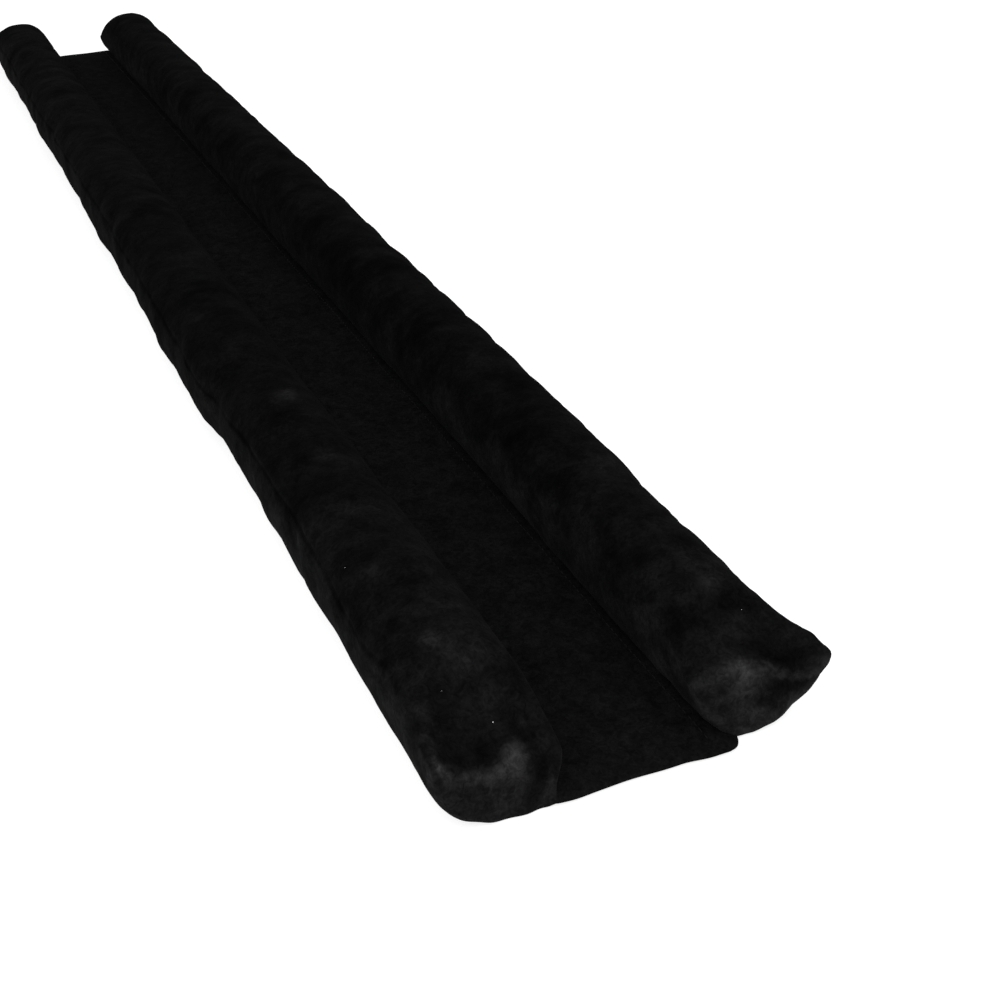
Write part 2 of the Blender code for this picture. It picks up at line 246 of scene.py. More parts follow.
GRAIN_SPREAD = Spread(start=0.30, end=0.70, low=0.86, high=1.14)
BUMP_MOTTLE = 2.2
BUMP_STRENGTH = 0.5
BUMP_DISTANCE = 0.0003

# Stage
FLOOR_HALF = 12.0
FLOOR_DROP = 0.0002
FLOOR_GLOW = 0.75
DULL_HALF_LENGTH = LENGTH / 2 - 0.006
DULL_HALF_WIDTH = 0.036
WORLD_STRENGTH = 1.0
LAMPS = (Lamp("key", (-0.95, 0.75, 0.95), 1.1, 9.0), Lamp("fill", (-0.75, -0.80, 0.60), 0.9, 3.5))
LAMPS_AIM = (-0.30, 0.0, 0.0)

# Camera, as the photo was taken
CAMERA_PLACE = (-0.7113, 0.1447, 0.2576)
CAMERA_RIGHT = (-0.3961, -0.9180, -0.0292)
CAMERA_UP = (0.4503, -0.2218, 0.8648)
SENSOR_WIDTH = 36.0
LENS = 53.1
CLIP_START = 0.01

LEFT_RUNS = (
    Run(0.000, -0.0002, 0.0000, 4.0),
    Run(0.007, -0.0002, 0.0000, 25.0),
    Run(0.015, 0.0000, 0.0004, 33.0),
    Run(0.032, 0.0002, 0.0008, 33.0),
    Run(0.062, -0.0002, 0.0002, 20.0),
    Run(0.092, 0.0002, 0.0006, 29.0),
    Run(0.135, -0.0004, -0.0004, 31.0),
    Run(0.185, -0.0007, 0.0003, 26.0),
    Run(0.222, -0.0010, -0.0006, 17.0),
    Run(0.243, 0.0017, 0.0002, 20.0),
    Run(0.310, 0.0021, 0.0005, 28.0),
    Run(0.390, 0.0006, -0.0006, 24.0),
    Run(0.470, 0.0014, 0.0003, 29.0),
    Run(0.560, 0.0002, -0.0004, 23.0),
    Run(0.650, 0.0012, 0.0005, 27.0),
    Run(0.735, 0.0000, -0.0003, 22.0),
    Run(0.820, 0.0008, 0.0004, 28.0),
    Run(0.886, 0.0002, 0.0004, 27.0),
    Run(0.900, 0.0000, 0.0000, 6.0),
)
RIGHT_RUNS = (
    Run(0.000, 0.0029, 0.0000, 3.0),
    Run(0.007, 0.0022, -0.0002, 14.0),
    Run(0.0235, -0.0027, -0.0012, 30.0),
    Run(0.034, -0.0034, -0.0014, 31.0),
    Run(0.060, -0.0038, -0.0014, 26.0),
    Run(0.100, -0.0024, -0.0014, 29.0),
    Run(0.160, -0.0019, -0.0006, 24.0),
    Run(0.235, -0.0006, -0.0010, 30.0),
    Run(0.320, -0.0014, -0.0002, 25.0),
    Run(0.405, -0.0002, -0.0009, 28.0),
    Run(0.500, -0.0012, -0.0001, 23.0),
    Run(0.590, -0.0002, -0.0010, 27.0),
    Run(0.675, -0.0011, -0.0003, 30.0),
    Run(0.765, -0.0003, -0.0008, 24.0),
    Run(0.840, -0.0010, -0.0002, 28.0),
    Run(0.886, -0.0002, -0.0002, 26.0),
    Run(0.900, 0.0000, 0.0000, 6.0),
)
LEFT_FOLDS = (
    Fold(0.026, 68.0, 0.0035, 30.0, -0.0008),
    Fold(0.033, 70.0, 0.0040, 26.0, 0.0006),
    Fold(0.052, 118.0, 0.0200, 22.0, -0.0006),
    Fold(0.095, 75.0, 0.0160, 34.0, -0.0008),
    Fold(0.118, 120.0, 0.0120, 24.0, 0.0006),
    Fold(0.168, 95.0, 0.0180, 30.0, -0.0007),
    Fold(0.226, 158.0, 0.0090, 26.0, -0.0012),
    Fold(0.232, 100.0, 0.0120, 32.0, -0.0008),
    Fold(0.262, 72.0, 0.0080, 24.0, 0.0007),
    Fold(0.345, 110.0, 0.0200, 30.0, -0.0009),
    Fold(0.430, 140.0, 0.0100, 26.0, -0.0010),
    Fold(0.525, 80.0, 0.0200, 34.0, -0.0008),
    Fold(0.610, 150.0, 0.0110, 28.0, -0.0010),
    Fold(0.700, 95.0, 0.0190, 30.0, -0.0008),
    Fold(0.790, 135.0, 0.0120, 26.0, -0.0009),
)
RIGHT_FOLDS = (
    Fold(0.022, 140.0, 0.0080, 24.0, 0.0003),
    Fold(0.040, 95.0, 0.0120, 30.0, -0.0007),
    Fold(0.088, 120.0, 0.0150, 26.0, -0.0008),
    Fold(0.150, 80.0, 0.0180, 34.0, -0.0008),
    Fold(0.212, 150.0, 0.0100, 26.0, -0.0011),
    Fold(0.290, 100.0, 0.0190, 30.0, -0.0008),
    Fold(0.375, 135.0, 0.0120, 26.0, -0.0009),
    Fold(0.470, 90.0, 0.0200, 34.0, -0.0008),
    Fold(0.555, 155.0, 0.0100, 26.0, -0.0011),
    Fold(0.640, 105.0, 0.0180, 30.0, -0.0008),
    Fold(0.730, 75.0, 0.0160, 30.0, -0.0007),
    Fold(0.815, 140.0, 0.0110, 26.0, -0.0010),
)
LEFT_NEAR_SEAM = (
    Rise(0.0226, 0.0000),
    Rise(0.0430, 0.0003),
    Rise(0.0475, 0.0026),
    Rise(0.0515, 0.0064),
    Rise(0.0545, 0.0106),
    Rise(0.0570, 0.0148),
)
RIGHT_NEAR_SEAM = (
    Rise(0.0300, 0.0000),
    Rise(0.0355, 0.0008),
    Rise(0.0430, 0.0030),
    Rise(0.0500, 0.0076),
    Rise(0.0555, 0.0130),
    Rise(0.0608, 0.0168),
)
FAR_SEAM = (
    Rise(0.0262, 0.0000),
    Rise(0.0400, 0.0006),
    Rise(0.0490, 0.0040),
    Rise(0.0540, 0.0098),
    Rise(0.0575, 0.0150),
)

# Painted light and shade on top of the sleeves and on their flanks, along their length
PAINTED_LIGHT_ALONG = (
    Tone(0.000, 2.00, 1.30),
    Tone(0.012, 2.00, 1.20),
    Tone(0.020, 2.05, 0.90),
    Tone(0.032, 2.25, 0.60),
    Tone(0.050, 2.10, 0.50),
    Tone(0.066, 1.60, 0.48),
    Tone(0.090, 1.80, 0.55),
    Tone(0.105, 1.80, 0.62),
    Tone(0.125, 1.10, 0.66),
    Tone(0.160, 1.15, 0.60),
    Tone(0.200, 1.15, 0.48),
    Tone(0.300, 0.95, 0.28),
    Tone(0.500, 1.15, 0.34),
    Tone(0.880, 1.40, 0.60),
    Tone(0.900, 1.60, 1.10),
)

# Where the pile is made lighter (above 0) or darker (below 0): brushed pile with painted highlights and
# painted shade
LEFT_PILE_AND_LIGHT_MARKS = (
    Brushed(0.0028, 0.0547, 0.0197, 0.0020, 0.61),
    Brushed(0.0029, 0.0517, 0.0175, 0.0020, 0.68),
    Brushed(0.0032, 0.0484, 0.0158, 0.0018, 0.68),
    Brushed(0.0035, 0.0449, 0.0140, 0.0018, 0.68),
    Brushed(0.0030, 0.0416, 0.0131, 0.0020, 0.74),
    Brushed(0.0029, 0.0390, 0.0132, 0.0022, 0.74),
    Brushed(0.0054, 0.0348, 0.0175, 0.0026, 0.60),
    Brushed(0.0056, 0.0327, 0.0179, 0.0022, 0.50),
    Brushed(0.0033, 0.0349, 0.0153, 0.0028, 0.70),
    Brushed(0.0033, 0.0327, 0.0158, 0.0024, 0.55),
    Brushed(0.0019, 0.0345, 0.0123, 0.0028, 0.65),
    Brushed(0.0010, 0.0330, 0.0099, 0.0022, 0.45),
    Brushed(0.0020, 0.0375, 0.0101, 0.0022, 0.30),
    Brushed(0.0009, 0.0514, 0.0133, 0.0030, 0.10),
    Brushed(0.0009, 0.0416, 0.0073, 0.0026, 0.06),
    Brushed(0.0017, 0.0252, 0.0107, 0.0010, 0.55),
    Brushed(0.0010, 0.0256, 0.0081, 0.0010, 0.55),
    Brushed(0.0006, 0.0261, 0.0053, 0.0010, 0.45),
    Brushed(0.0020, 0.0276, 0.0101, 0.0022, -0.25),
    Brushed(0.0033, 0.0281, 0.0135, 0.0024, -0.32),
    Brushed(0.0011, 0.0295, 0.0066, 0.0024, -0.30),
    Brushed(0.0004, 0.0321, 0.0044, 0.0022, -0.45),
    Brushed(0.0077, 0.0484, 0.0187, 0.0032, -0.12),
    Brushed(0.0089, 0.0444, 0.0183, 0.0036, -0.10),
    Brushed(0.0073, 0.0413, 0.0171, 0.0034, -0.12),
    Brushed(0.0080, 0.0382, 0.0181, 0.0026, -0.14),
    Brushed(0.0059, 0.0452, 0.0167, 0.0018, -0.28),
    Brushed(0.0046, 0.0409, 0.0155, 0.0016, -0.30),
    Brushed(0.0026, 0.0451, 0.0121, 0.0013, -0.35),
    Brushed(0.0014, 0.0472, 0.0109, 0.0013, -0.35),
    Brushed(0.0006, 0.0487, 0.0092, 0.0013, -0.30),
    Brushed(0.0022, 0.0385, 0.0110, 0.0008, -0.32),
    Brushed(0.0018, 0.0368, 0.0097, 0.0008, -0.45),
    Brushed(0.0012, 0.0352, 0.0089, 0.0008, -0.45),
    Brushed(0.0007, 0.0335, 0.0080, 0.0008, -0.32),
    Brushed(0.0058, 0.0554, 0.0211, 0.0010, 0.35),
    Brushed(0.0039, 0.0550, 0.0208, 0.0009, 0.35),
    Brushed(0.0076, 0.0541, 0.0218, 0.0009, 0.25),
    Brushed(0.0137, 0.0540, 0.0236, 0.0022, 0.16),
    Brushed(0.0155, 0.0512, 0.0245, 0.0010, 0.22),
    Brushed(0.0138, 0.0503, 0.0231, 0.0010, 0.22),
    Brushed(0.0118, 0.0500, 0.0220, 0.0009, 0.20),
    Brushed(0.0172, 0.0515, 0.0255, 0.0010, 0.18),
    Brushed(0.0206, 0.0535, 0.0257, 0.0024, 0.18),
    Brushed(0.0269, 0.0531, 0.0281, 0.0026, 0.16),
    Brushed(0.0247, 0.0512, 0.0291, 0.0024, 0.14),
    Brushed(0.0345, 0.0524, 0.0298, 0.0028, 0.12),
    Brushed(0.0119, 0.0290, 0.0204, 0.0009, 0.30),
    Brushed(0.0109, 0.0278, 0.0194, 0.0009, 0.28),
    Brushed(0.0093, 0.0291, 0.0188, 0.0009, 0.26),
    Brushed(0.0373, 0.0433, 0.0349, 0.0028, 0.22),
    Brushed(0.0342, 0.0412, 0.0347, 0.0026, 0.22),
    Brushed(0.0393, 0.0408, 0.0351, 0.0022, 0.16),
    Brushed(0.0304, 0.0405, 0.0338, 0.0020, 0.14),
    Brushed(0.0549, 0.0471, 0.0330, 0.0034, 0.12),
    Brushed(0.0753, 0.0456, 0.0343, 0.0036, 0.14),
    Brushed(0.1040, 0.0490, 0.0326, 0.0040, 0.16),
    Brushed(0.1100, 0.0422, 0.0346, 0.0036, 0.12),
    Brushed(0.1106, 0.0508, 0.0313, 0.0030, 0.12),
    Brushed(0.1944, 0.0364, 0.0348, 0.0040, 0.30),
    Brushed(0.1467, 0.0370, 0.0343, 0.0045, 0.14),
    Brushed(0.0026, 0.0480, 0.0145, 0.0018, 0.35),
    Brushed(0.0014, 0.0400, 0.0089, 0.0022, 0.14),
    Brushed(0.0029, 0.0384, 0.0134, 0.0016, 0.16),
    Brushed(0.0012, 0.0335, 0.0106, 0.0020, 0.16),
    Brushed(0.0037, 0.0339, 0.0165, 0.0020, -0.16),
    Brushed(0.0450, 0.0545, 0.0260, 0.0030, 0.10),
    Brushed(0.0119, 0.0548, 0.0229, 0.0020, 0.10),
    Brushed(0.0193, 0.0526, 0.0263, 0.0016, 0.20),
    Brushed(0.0161, 0.0531, 0.0247, 0.0016, 0.20),
    Brushed(0.0127, 0.0537, 0.0232, 0.0016, 0.24),
    Brushed(0.0095, 0.0544, 0.0221, 0.0016, 0.26),
    Brushed(0.0039, 0.0548, 0.0208, 0.0012, 0.25),
    Brushed(0.0063, 0.0544, 0.0213, 0.0010, 0.25),
    Brushed(0.0030, 0.0562, 0.0162, 0.0014, -0.25),
    Brushed(0.0013, 0.0562, 0.0145, 0.0014, -0.20),
    Brushed(0.0018, 0.0445, 0.0084, 0.0045, -0.12),
    Brushed(0.0007, 0.0502, 0.0114, 0.0040, -0.08),
    Brushed(0.0014, 0.0379, 0.0062, 0.0040, -0.10),
    Brushed(0.0005, 0.0314, 0.0044, 0.0040, -0.12),
)
RIGHT_PILE_AND_LIGHT_MARKS = (
    Brushed(0.0108, 0.0257, 0.0180, 0.0024, 0.20),
    Brushed(0.0115, 0.0279, 0.0194, 0.0020, 0.22),
    Brushed(0.0093, 0.0291, 0.0192, 0.0026, 0.30),
    Brushed(0.0084, 0.0319, 0.0195, 0.0026, 0.45),
    Brushed(0.0076, 0.0348, 0.0198, 0.0024, 0.60),
    Brushed(0.0069, 0.0378, 0.0193, 0.0022, 0.72),
    Brushed(0.0068, 0.0408, 0.0191, 0.0018, 0.68),
    Brushed(0.0066, 0.0294, 0.0169, 0.0026, 0.30),
    Brushed(0.0060, 0.0328, 0.0169, 0.0028, 0.45),
    Brushed(0.0058, 0.0363, 0.0172, 0.0026, 0.62),
    Brushed(0.0050, 0.0314, 0.0141, 0.0024, 0.35),
    Brushed(0.0050, 0.0348, 0.0142, 0.0022, 0.30),
    Brushed(0.0061, 0.0437, 0.0173, 0.0014, 0.64),
    Brushed(0.0056, 0.0463, 0.0154, 0.0013, 0.66),
    Brushed(0.0057, 0.0494, 0.0133, 0.0012, 0.64),
    Brushed(0.0055, 0.0522, 0.0126, 0.0012, 0.58),
    Brushed(0.0045, 0.0543, 0.0136, 0.0013, 0.45),
    Brushed(0.0039, 0.0560, 0.0155, 0.0016, 0.26),
    Brushed(0.0035, 0.0578, 0.0172, 0.0018, 0.20),
    Brushed(0.0038, 0.0588, 0.0190, 0.0016, 0.10),
    Brushed(0.0046, 0.0408, 0.0139, 0.0018, -0.45),
    Brushed(0.0047, 0.0440, 0.0135, 0.0018, -0.42),
    Brushed(0.0051, 0.0482, 0.0112, 0.0020, -0.42),
    Brushed(0.0055, 0.0518, 0.0097, 0.0018, -0.50),
    Brushed(0.0039, 0.0450, 0.0097, 0.0028, -0.42),
    Brushed(0.0036, 0.0411, 0.0098, 0.0024, -0.55),
    Brushed(0.0034, 0.0428, 0.0063, 0.0022, -0.32),
    Brushed(0.0052, 0.0269, 0.0134, 0.0026, 0.16),
    Brushed(0.0041, 0.0295, 0.0106, 0.0024, 0.16),
    Brushed(0.0038, 0.0325, 0.0078, 0.0024, 0.18),
    Brushed(0.0036, 0.0351, 0.0051, 0.0024, 0.20),
    Brushed(0.0041, 0.0339, 0.0098, 0.0018, 0.16),
    Brushed(0.0033, 0.0312, 0.0052, 0.0022, 0.20),
    Brushed(0.0034, 0.0370, 0.0073, 0.0016, 0.22),
    Brushed(0.0032, 0.0399, 0.0051, 0.0020, -0.25),
    Brushed(0.0049, 0.0247, 0.0117, 0.0020, -0.10),
    Brushed(0.0093, 0.0477, 0.0199, 0.0040, -0.25),
    Brushed(0.0071, 0.0521, 0.0189, 0.0034, -0.30),
    Brushed(0.0123, 0.0426, 0.0208, 0.0034, -0.20),
    Brushed(0.0147, 0.0362, 0.0220, 0.0030, -0.20),
    Brushed(0.0182, 0.0480, 0.0241, 0.0013, 0.10),
    Brushed(0.0156, 0.0490, 0.0231, 0.0013, 0.12),
    Brushed(0.0129, 0.0502, 0.0218, 0.0012, 0.10),
    Brushed(0.0206, 0.0468, 0.0253, 0.0013, 0.08),
    Brushed(0.0183, 0.0405, 0.0236, 0.0034, 0.10),
    Brushed(0.0187, 0.0307, 0.0230, 0.0030, 0.10),
    Brushed(0.0335, 0.0377, 0.0317, 0.0030, 0.25),
    Brushed(0.0044, 0.0382, 0.0135, 0.0020, 0.30),
    Brushed(0.0036, 0.0380, 0.0088, 0.0022, -0.45),
    Brushed(0.0034, 0.0427, 0.0074, 0.0022, -0.25),
    Brushed(0.0049, 0.0482, 0.0092, 0.0022, -0.35),
    Brushed(0.0040, 0.0319, 0.0099, 0.0030, 0.10),
    Brushed(0.0105, 0.0291, 0.0197, 0.0020, -0.30),
    Brushed(0.0183, 0.0320, 0.0229, 0.0040, -0.20),
    Brushed(0.0053, 0.0571, 0.0208, 0.0024, 0.10),
    Brushed(0.0056, 0.0250, 0.0137, 0.0024, 0.12),
    Brushed(0.0050, 0.0293, 0.0128, 0.0024, 0.10),
    Brushed(0.0058, 0.0451, 0.0164, 0.0013, 0.15),
    Brushed(0.0059, 0.0502, 0.0130, 0.0013, 0.18),
    Brushed(0.0093, 0.0455, 0.0195, 0.0040, -0.12),
    Brushed(0.0077, 0.0560, 0.0223, 0.0026, -0.12),
    Brushed(0.0086, 0.0221, 0.0153, 0.0026, 0.16),
    Brushed(0.0069, 0.0248, 0.0156, 0.0026, 0.16),
    Brushed(0.0096, 0.0239, 0.0167, 0.0024, 0.14),
    Brushed(0.0120, 0.0222, 0.0169, 0.0024, 0.20),
    Brushed(0.0159, 0.0218, 0.0184, 0.0024, 0.10),
    Brushed(0.0054, 0.0417, 0.0164, 0.0016, 0.35),
    Brushed(0.0057, 0.0387, 0.0171, 0.0022, 0.30),
)

SLEEVES = (
    Sleeve(
        node="sleeve_left",
        side=1,
        runs=LEFT_RUNS,
        folds=LEFT_FOLDS,
        near=End(
            setback=0.0000,
            ear=0.0022,
            seam=LEFT_NEAR_SEAM,
            pleats=(
                Pleat(0.0285, 0.0020, 0.0009),
                Pleat(0.0380, 0.0026, 0.0010),
                Pleat(0.0450, 0.0020, 0.0011),
            ),
            bulges=(Bulge(0.0330, 0.0036, 0.0026),),
        ),
        far=End(
            setback=0.0016,
            ear=0.0030,
            seam=FAR_SEAM,
            pleats=(Pleat(0.0400, 0.0030, 0.0008),),
            bulges=(Bulge(0.0340, 0.0050, 0.0020),),
        ),
        phase=0.4,
        brushed=LEFT_PILE_AND_LIGHT_MARKS,
        lint=(
            Lint(0.0834, 0.0509, 0.0318, 0.5),
            Lint(0.0226, 0.0460, 0.0294, 0.35),
            Lint(0.0133, 0.0353, 0.0212, 1.0),
        ),
    ),
    Sleeve(
        node="sleeve_right",
        side=-1,
        runs=RIGHT_RUNS,
        folds=RIGHT_FOLDS,
        near=End(
            setback=0.0030,
            ear=0.0028,
            seam=RIGHT_NEAR_SEAM,
            pleats=(
                Pleat(0.0330, 0.0022, 0.0006),
                Pleat(0.0510, 0.0042, 0.0020),
            ),
            bulges=(Bulge(0.0365, 0.0072, 0.0048), Bulge(0.0290, 0.0040, 0.0020)),
        ),
        far=End(
            setback=0.0020,
            ear=0.0030,
            seam=FAR_SEAM,
            pleats=(Pleat(0.0370, 0.0030, 0.0008),),
            bulges=(Bulge(0.0430, 0.0060, 0.0024),),
        ),
        phase=2.3,
        brushed=RIGHT_PILE_AND_LIGHT_MARKS,
        lint=(Lint(0.0234, 0.0433, 0.0272, 0.5),),
    ),
)


def ease(share):
    share = min(1.0, max(0.0, share))
    return share * share * (3 - 2 * share)


def ease_all(shares):
    shares = np.clip(shares, 0.0, 1.0)
    return shares * shares * (3 - 2 * shares)


def between(rows, place, column):
    """A table's column at a place between its rows, which are ordered by their first column."""
    if place <= rows[0][0]:
        return rows[0][column]
    for low, high in zip(rows, rows[1:]):
        if place <= high[0]:
            share = ease((place - low[0]) / (high[0] - low[0]))
            return low[column] + (high[column] - low[column]) * share
    return rows[-1][column]


def signed_power(value, power):
    return math.copysign(abs(value) ** power, value)


def half_sizes(sleeve, along):
    wide = (SLEEVE_WIDTH + between(sleeve.runs, along, 1)) / 2
    high = (SLEEVE_HEIGHT + between(sleeve.runs, along, 2) + SINK) / 2
    return wide, high


def lumps(sleeve, along, angle):
    turn = math.radians(angle)
    waves = 0.0
    for wave in LUMP_WAVES:
        waves += wave.size * math.sin(along * wave.per_metre + turn * wave.turns + sleeve.phase * wave.phases)
    return LUMP_HEIGHT * waves / LUMP_WAVES_SUM


def fold_height(sleeve, along, angle):
    height = 0.0
    for fold in sleeve.folds:
        off_along = (along - fold.along) / fold.reach_along
        off_around = (angle - fold.angle) / fold.reach_around
        height += fold.height * math.exp(-(off_along**2) - off_around**2)
    return height


def section_point(sleeve, along, angle):
    """Reach and height of the cloth at an angle round the section: 0 beside the door, 90 on top."""
    wide, high = half_sizes(sleeve, along)
    turn = math.radians(angle)
    inwards = signed_power(math.cos(turn), SQUARENESS)
    upwards = signed_power(math.sin(turn), SQUARENESS)
    reach = DOOR_GAP / 2 + wide * (1 - inwards)
    height = high - SINK + high * upwards
    outward = lumps(sleeve, along, angle) + fold_height(sleeve, along, angle)
    outward *= ease((height - LUMP_FREE_HEIGHT) / LUMP_FADE_HEIGHT)
    outward = min(outward, 0.0) if abs(angle) < DOOR_SIDE_ANGLE else outward
    reach -= outward * math.cos(turn)
    height += outward * math.sin(turn)
    return reach, max(height, 0.0)


def panel_angles(sleeve, along):
    seam_angle = 180 - between(sleeve.runs, along, 3)
    count = POINTS_PER_PANEL
    shares = [1 - (1 - step / count) ** SEAM_CROWDING for step in range(count + 1)]
    top = [JOINT_ANGLE + (seam_angle - JOINT_ANGLE) * share for share in shares]
    low = 360 + JOINT_ANGLE
    bottom = [low + (seam_angle - low) * share for share in reversed(shares[1:count])]
    return top + bottom


def arc(share):
    off = 1 - min(1.0, max(0.0, share))
    return math.sqrt(1 - off * off)


def soft_least(value, limit):
    if value <= 0:
        return value
    power = END_SOFTNESS
    return value * limit / (value**power + limit**power) ** (1 / power)


def end_point(end, depth, share, reach, height, crown):
    """The full section's point, drawn in towards the seam that closes the end."""
    drawn = 1 - arc(depth / END_DROP_REACH)
    even = end.seam[0].reach + (end.seam[-1].reach - end.seam[0].reach) * share
    reach += (even - reach) * drawn
    seam_height = between(end.seam, reach, 1)
    lift = height - seam_height
    if lift < 0:
        return reach, seam_height + lift * arc(depth / END_UNDERSIDE_RADIUS)
    slope = END_DROP_SHARE * (1 - drawn) + (1 - END_DROP_SHARE) * ease(depth / END_SLOPE_REACH)
    limit = (crown - seam_height) * slope
    for bulge in end.bulges:
        off = (reach - bulge.reach) / bulge.width
        deep = (depth - BULGE_DEPTH) / BULGE_SPREAD
        limit += bulge.lift * math.exp(-off * off - deep * deep) * (1 - drawn)
    limit = max(END_LEAST_LIFT, limit)
    full = ease((depth - END_FULL_FROM) / (END_FULL_AT - END_FULL_FROM))
    low = soft_least(lift, limit)
    return reach, seam_height + low + (lift - low) * full


def ring_at(sleeve, along, depth, end, step):
    """One ring of a sleeve, from the web up over the top to the outer seam and back underneath."""
    crown = half_sizes(sleeve, along)[1] * 2 - SINK
    count = POINTS_PER_PANEL
    fade = 1 - ease(depth / PLEAT_REACH)
    ring = []
    for place, angle in enumerate(panel_angles(sleeve, along)):
        share = min(place, 2 * count - place) / count
        reach, height = section_point(sleeve, along, angle)
        reach, height = end_point(end, depth, share, reach, height, crown)
        shift = end.ear * (1 - arc((end.seam[-1].reach - reach) / end.ear)) * fade
        for pleat in end.pleats:
            off = (reach - pleat.reach) / pleat.width
            shift += pleat.depth * math.exp(-off * off) * fade
        ring.append((along + step * shift - LENGTH / 2, sleeve.side * reach, height))
    return ring


def sleeve_rings(sleeve):
    rings = []
    for depth in END_DEPTHS:
        rings.append(ring_at(sleeve, sleeve.near.setback + depth, depth, sleeve.near, 1))
    span = LENGTH - 2 * FIRST_STATION
    count = round(span / BODY_STEP)
    for step in range(count + 1):
        along = FIRST_STATION + span * step / count
        end = sleeve.far if along > LENGTH / 2 else sleeve.near
        depth = (LENGTH - along if along > LENGTH / 2 else along) - end.setback
        rings.append(ring_at(sleeve, along, depth, end, 1))
    for depth in reversed(END_DEPTHS):
        along = LENGTH - sleeve.far.setback - depth
        rings.append(ring_at(sleeve, along, depth, sleeve.far, -1))
    return rings


def strip_across(first, count, flip):
    half = count // 2
    faces = [(first, first + 1, first + count - 1)]
    for step in range(1, half - 1):
        faces.append((first + step, first + step + 1, first + count - step - 1, first + count - step))
    faces.append((first + half - 1, first + half, first + half + 1))
    return [tuple(reversed(face)) for face in faces] if flip else faces


def tube_faces(rings, count, side):
    faces = []
    for ring in range(rings - 1):
        for step in range(count):
            following = (step + 1) % count
            low, high = ring * count, (ring + 1) * count
            face = (low + step, high + step, high + following, low + following)
            faces.append(face if side > 0 else tuple(reversed(face)))
    faces += strip_across(0, count, flip=side < 0)
    faces += strip_across((rings - 1) * count, count, flip=side > 0)
    return faces


def mesh_object(name, points, faces):
    mesh = bpy.data.meshes.new(name)
    mesh.from_pydata(points, [], faces)
    mesh.shade_smooth()
    obj = bpy.data.objects.new(name, mesh)
    bpy.context.scene.collection.objects.link(obj)
    return obj


def points_of(obj):
    flat = np.empty(len(obj.data.vertices) * 3, dtype=np.float32)
    obj.data.vertices.foreach_get("co", flat)
    return flat.reshape(-1, 3).astype(float)


def normals_of(obj):
    flat = np.empty(len(obj.data.vertices) * 3, dtype=np.float32)
    obj.data.vertex_normals.foreach_get("vector", flat)
    return flat.reshape(-1, 3).astype(float)


def set_points(obj, points):
    obj.data.vertices.foreach_set("co", points.astype(np.float32).ravel())
    obj.data.update()


def apply_modifiers(obj):
    """The object's evaluated mesh becomes its own, and no modifier is left."""
    graph = bpy.context.evaluated_depsgraph_get()
    mesh = bpy.data.meshes.new_from_object(obj.evaluated_get(graph))
    obj.modifiers.clear()
    old = obj.data
    obj.data = mesh
    bpy.data.meshes.remove(old)


def seam_line(rings):
    """The outer seam of a sleeve: along, reach and height of its point on each ring."""
    seam = [ring[POINTS_PER_PANEL] for ring in rings]
    return np.array([(along, abs(across), height) for along, across, height in seam])


def held_points(points, rings, count):
    """The points that the cloth run leaves still: the seams, the closed ends and the foot on the floor."""
    held = []
    for ring in range(rings):
        for place in range(count):
            index = ring * count + place
            on_seam = place in (0, POINTS_PER_PANEL)
            if on_seam or ring < 1 or ring > rings - 2 or points[index, 2] < CLOTH_HELD_BELOW:
                held.append(index)
    return held


def add_cloth(obj, pinned):
    cloth = obj.modifiers.new("cloth", "CLOTH")
    settings = cloth.settings
    settings.quality = 4
    settings.mass = 0.1
    settings.tension_stiffness = CLOTH_STIFFNESS
    settings.compression_stiffness = CLOTH_STIFFNESS
    settings.shear_stiffness = 5
    settings.bending_stiffness = 0.05
    settings.tension_damping = CLOTH_DAMPING
    settings.compression_damping = CLOTH_DAMPING
    settings.use_pressure = True
    settings.uniform_pressure_force = CLOTH_PRESSURE
    settings.shrink_min = CLOTH_SLACK
    settings.shrink_max = CLOTH_SLACK
    settings.vertex_group_mass = pinned
    settings.pin_stiffness = 5
    settings.effector_weights.gravity = 0
    cloth.collision_settings.use_collision = False
    cloth.point_cache.frame_start = 1
    cloth.point_cache.frame_end = CLOTH_FRAMES


def loosen(obj, rings):
    """A short cloth run gives the velvet slack between its seams and the floor, which hold still."""
    start = points_of(obj)
    held = obj.vertex_groups.new(name="held")
    held.add(held_points(start, len(rings), len(rings[0])), 1.0, "REPLACE")
    add_cloth(obj, held.name)
    for number in range(1, CLOTH_FRAMES + 1):
        bpy.context.scene.frame_set(number)
    apply_modifiers(obj)
    bpy.context.scene.frame_set(1)
    moved = points_of(obj) - start
    size = np.linalg.norm(moved, axis=1, keepdims=True)
    moved *= CLOTH_LARGEST_MOVE * np.tanh(size / CLOTH_LARGEST_MOVE) / np.maximum(size, 1e-9)
    set_points(obj, keep_in_place(start + moved))


def keep_in_place(points):
    """Nothing goes under the floor or into the door's space."""
    points[:, 2] = np.maximum(points[:, 2], 0.0)
    side = np.sign(points[:, 1])
    points[:, 1] = side * np.maximum(np.abs(points[:, 1]), DOOR_GAP / 2 - DOOR_CLEARANCE)
    return points


def fine_noise(points, size, seed):
    """Soft noise from -1 to 1 at each point, with detail down to a quarter of its size."""
    offset = Vector([seed * shift for shift in NOISE_SHIFTS])
    values = np.empty(len(points))
    for index, point in enumerate(points):
        place = Vector(point) / size + offset
        finer = 0.5 * noise.noise(place * NOISE_FINER)
        finest = 0.25 * noise.noise(place * NOISE_FINEST)
        values[index] = noise.noise(place) + finer + finest
    return values / NOISE_SUM


def off_the_seam(points, seam):
    """Each point's distance from the outer seam, and the height of the seam there."""
    reach = np.interp(points[:, 0], seam[:, 0], seam[:, 1])
    height = np.interp(points[:, 0], seam[:, 0], seam[:, 2])
    return np.hypot(np.abs(points[:, 1]) - reach, points[:, 2] - height), height


